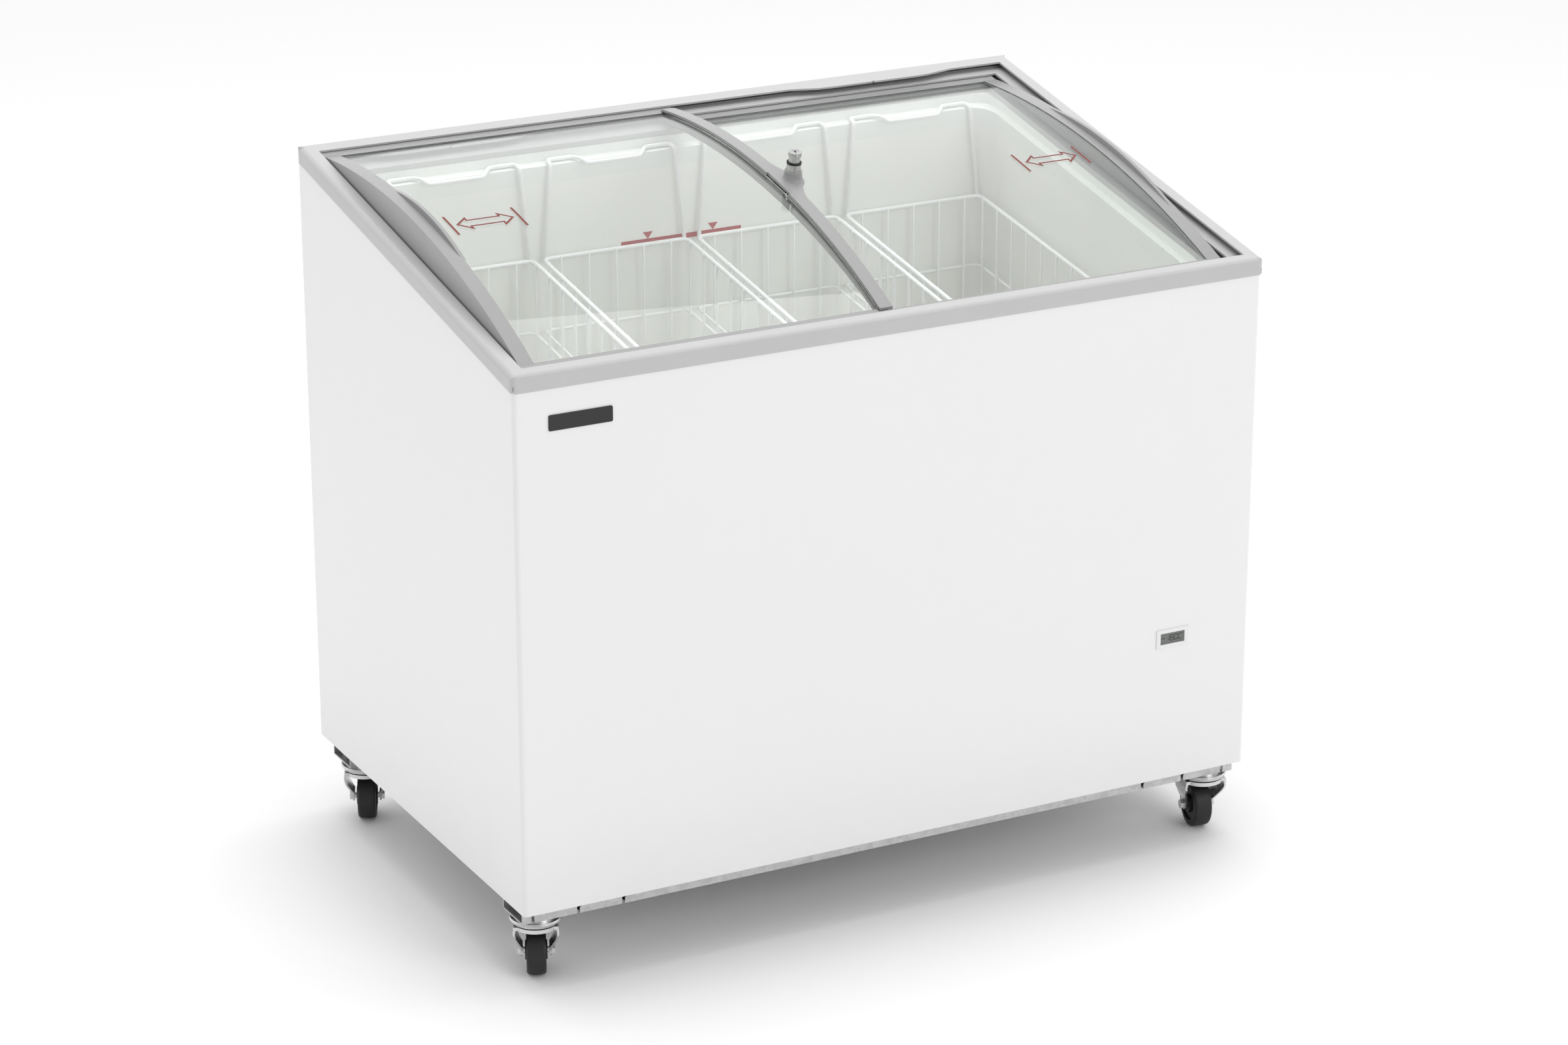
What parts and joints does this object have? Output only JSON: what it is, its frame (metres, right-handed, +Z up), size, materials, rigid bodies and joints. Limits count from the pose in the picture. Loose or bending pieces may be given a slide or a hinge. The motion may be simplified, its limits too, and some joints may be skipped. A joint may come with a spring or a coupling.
{
  "type": "display chest freezer",
  "caption": "Chest freezer for a shop, with a sloping top, two curved sliding glass lids, hanging wire baskets and castors.",
  "frame": {"origin": "on the floor at the middle of the footprint", "axes": "+Z up, +X to the right as seen from the front, +Y to the rear, so the front faces -Y"},
  "size_m": [1.02, 0.64, 0.912],
  "materials": {
    "white_steel": "semi-gloss white powder coat",
    "grey_panel": "satin light grey paint",
    "zinc_steel": "spangled galvanised sheet",
    "zinc_part": "bright zinc plate",
    "black_steel": "semi-matt black paint",
    "foam": "closed-cell rigid foam",
    "copper": "bare copper tube",
    "liner_white": "semi-gloss white coated sheet",
    "collar_grey": "smooth light grey plastic",
    "rim_grey": "satin silver-grey plastic",
    "dark_rubber": "matt rubber",
    "lid_grey": "satin mid-grey plastic",
    "lid_glass": "clear tempered glass",
    "glide_white": "low-friction plastic",
    "print_red": "red print",
    "lock_metal": "brushed plated zinc",
    "wire_white": "white plastic-coated wire",
    "badge_black": "gloss black",
    "trim_white": "gloss white plastic",
    "lcd_dark": "dark display face",
    "white_plastic": "matt white plastic",
    "castor_black": "black moulded tyre and hub",
    "fin_alu": "plain aluminium fins",
    "black_plastic": "black plastic"
  },
  "bodies": {
    "cabinet": {"cabinet_shell": "white_steel", "rear_panel": "grey_panel", "bottom_pan": "zinc_steel", "foam_insulation": "foam", "evaporator_coil": "copper", "inner_liner": "liner_white", "liner_collar": "collar_grey", "rim_front": "rim_grey", "rim_rear": "rim_grey", "rim_left": "rim_grey", "rim_right": "rim_grey", "lid_bumpers": "dark_rubber", "badge_plate": "badge_black", "display_bezel": "trim_white", "display_module": "lcd_dark", "load_line_mark": "print_red", "drain_tube": "white_plastic", "front_base_rail": "zinc_steel", "rear_base_rail": "zinc_steel", "castor_mounts": "zinc_part", "side_vent_grille": "grey_panel", "service_cover": "grey_panel", "service_screws": "zinc_part", "compressor": "black_steel", "compressor_feet": "dark_rubber", "condenser_coil": "fin_alu", "fan_bracket": "zinc_steel", "filter_drier": "copper", "thermostat_body": "black_plastic", "cable_gland": "black_plastic"},
    "left_lid": {"left_lid_frame": "lid_grey", "left_lid_glass": "lid_glass", "left_lid_glides": "glide_white", "left_lid_arrow": "print_red", "lock_housing": "lock_metal"},
    "lock_plunger": {"lock_plunger": "lock_metal"},
    "lock_core": {"lock_core": "lock_metal"},
    "right_lid": {"right_lid_frame": "lid_grey", "right_lid_glass": "lid_glass", "right_lid_glides": "glide_white", "right_lid_arrow": "print_red"},
    "drain_plug": {"drain_plug": "white_plastic"},
    "fan_blade": {"fan_blade": "black_plastic"},
    "thermostat_knob": {"thermostat_knob": "white_plastic"},
    "basket_1": {"basket_1": "wire_white"},
    "basket_2": {"basket_2": "wire_white"},
    "basket_3": {"basket_3": "wire_white"},
    "basket_4": {"basket_4": "wire_white"},
    "castor_fork_fl": {"castor_fork_fl": "zinc_part", "castor_axle_fl": "zinc_part"},
    "castor_wheel_fl": {"castor_wheel_fl": "castor_black"},
    "castor_fork_fr": {"castor_fork_fr": "zinc_part", "castor_axle_fr": "zinc_part"},
    "castor_wheel_fr": {"castor_wheel_fr": "castor_black"},
    "castor_fork_rl": {"castor_fork_rl": "zinc_part", "castor_axle_rl": "zinc_part"},
    "castor_wheel_rl": {"castor_wheel_rl": "castor_black"},
    "castor_fork_rr": {"castor_fork_rr": "zinc_part", "castor_axle_rr": "zinc_part"},
    "castor_wheel_rr": {"castor_wheel_rr": "castor_black"}
  },
  "joints": [
    {"name": "left_lid_slide", "type": "slide", "parent": "cabinet", "child": "left_lid", "axis": [1, 0, 0], "range_m": [0, 0.445]},
    {"name": "right_lid_slide", "type": "slide", "parent": "cabinet", "child": "right_lid", "axis": [1, 0, 0], "range_m": [-0.445, 0]},
    {"name": "lock_push", "type": "slide", "parent": "left_lid", "child": "lock_plunger", "axis": [0, 0.184, -0.9829], "range_m": [0, 0.008], "stiffness_N_per_m": 200, "springref_m": -0.01},
    {"name": "lock_key_turn", "type": "hinge", "parent": "lock_plunger", "child": "lock_core", "pos_m": [0.004, -0.03548, 0.90338], "axis": [0, -0.184, 0.9829], "range_deg": [0, 90]},
    {"name": "basket_1_lift", "type": "slide", "parent": "cabinet", "child": "basket_1", "axis": [0, 0, 1], "range_m": [0, 0.01]},
    {"name": "basket_2_lift", "type": "slide", "parent": "cabinet", "child": "basket_2", "axis": [0, 0, 1], "range_m": [0, 0.01]},
    {"name": "basket_3_lift", "type": "slide", "parent": "cabinet", "child": "basket_3", "axis": [0, 0, 1], "range_m": [0, 0.01]},
    {"name": "basket_4_lift", "type": "slide", "parent": "cabinet", "child": "basket_4", "axis": [0, 0, 1], "range_m": [0, 0.01]},
    {"name": "castor_fl_swivel", "type": "hinge", "parent": "cabinet", "child": "castor_fork_fl", "pos_m": [-0.474, -0.275, 0.07], "axis": [0, 0, 1], "continuous": true},
    {"name": "castor_fl_roll", "type": "hinge", "parent": "castor_fork_fl", "child": "castor_wheel_fl", "pos_m": [-0.4679, -0.2613, 0.03], "axis": [0.9135, -0.4067, 0], "continuous": true},
    {"name": "castor_fr_swivel", "type": "hinge", "parent": "cabinet", "child": "castor_fork_fr", "pos_m": [0.474, -0.275, 0.07], "axis": [0, 0, 1], "continuous": true},
    {"name": "castor_fr_roll", "type": "hinge", "parent": "castor_fork_fr", "child": "castor_wheel_fr", "pos_m": [0.47712, -0.26033, 0.03], "axis": [0.9781, -0.2079, 0], "continuous": true},
    {"name": "castor_rl_swivel", "type": "hinge", "parent": "cabinet", "child": "castor_fork_rl", "pos_m": [-0.474, 0.252, 0.07], "axis": [0, 0, 1], "continuous": true},
    {"name": "castor_rl_roll", "type": "hinge", "parent": "castor_fork_rl", "child": "castor_wheel_rl", "pos_m": [-0.46766, 0.2656, 0.03], "axis": [0.9063, -0.4226, 0], "continuous": true},
    {"name": "castor_rr_swivel", "type": "hinge", "parent": "cabinet", "child": "castor_fork_rr", "pos_m": [0.474, 0.252, 0.07], "axis": [0, 0, 1], "continuous": true},
    {"name": "castor_rr_roll", "type": "hinge", "parent": "castor_fork_rr", "child": "castor_wheel_rr", "pos_m": [0.4826, 0.26429, 0.03], "axis": [0.8192, -0.5736, 0], "continuous": true},
    {"name": "condenser_fan_spin", "type": "hinge", "parent": "cabinet", "child": "fan_blade", "pos_m": [0.372, 0.2, 0.215], "axis": [0, 1, 0], "continuous": true},
    {"name": "thermostat_turn", "type": "hinge", "parent": "cabinet", "child": "thermostat_knob", "pos_m": [0.452, 0.31, 0.3], "axis": [0, 1, 0], "range_deg": [-135, 135]},
    {"name": "drain_plug_lift", "type": "slide", "parent": "cabinet", "child": "drain_plug", "axis": [0, 0, 1], "range_m": [0, 0.05]}
  ]
}
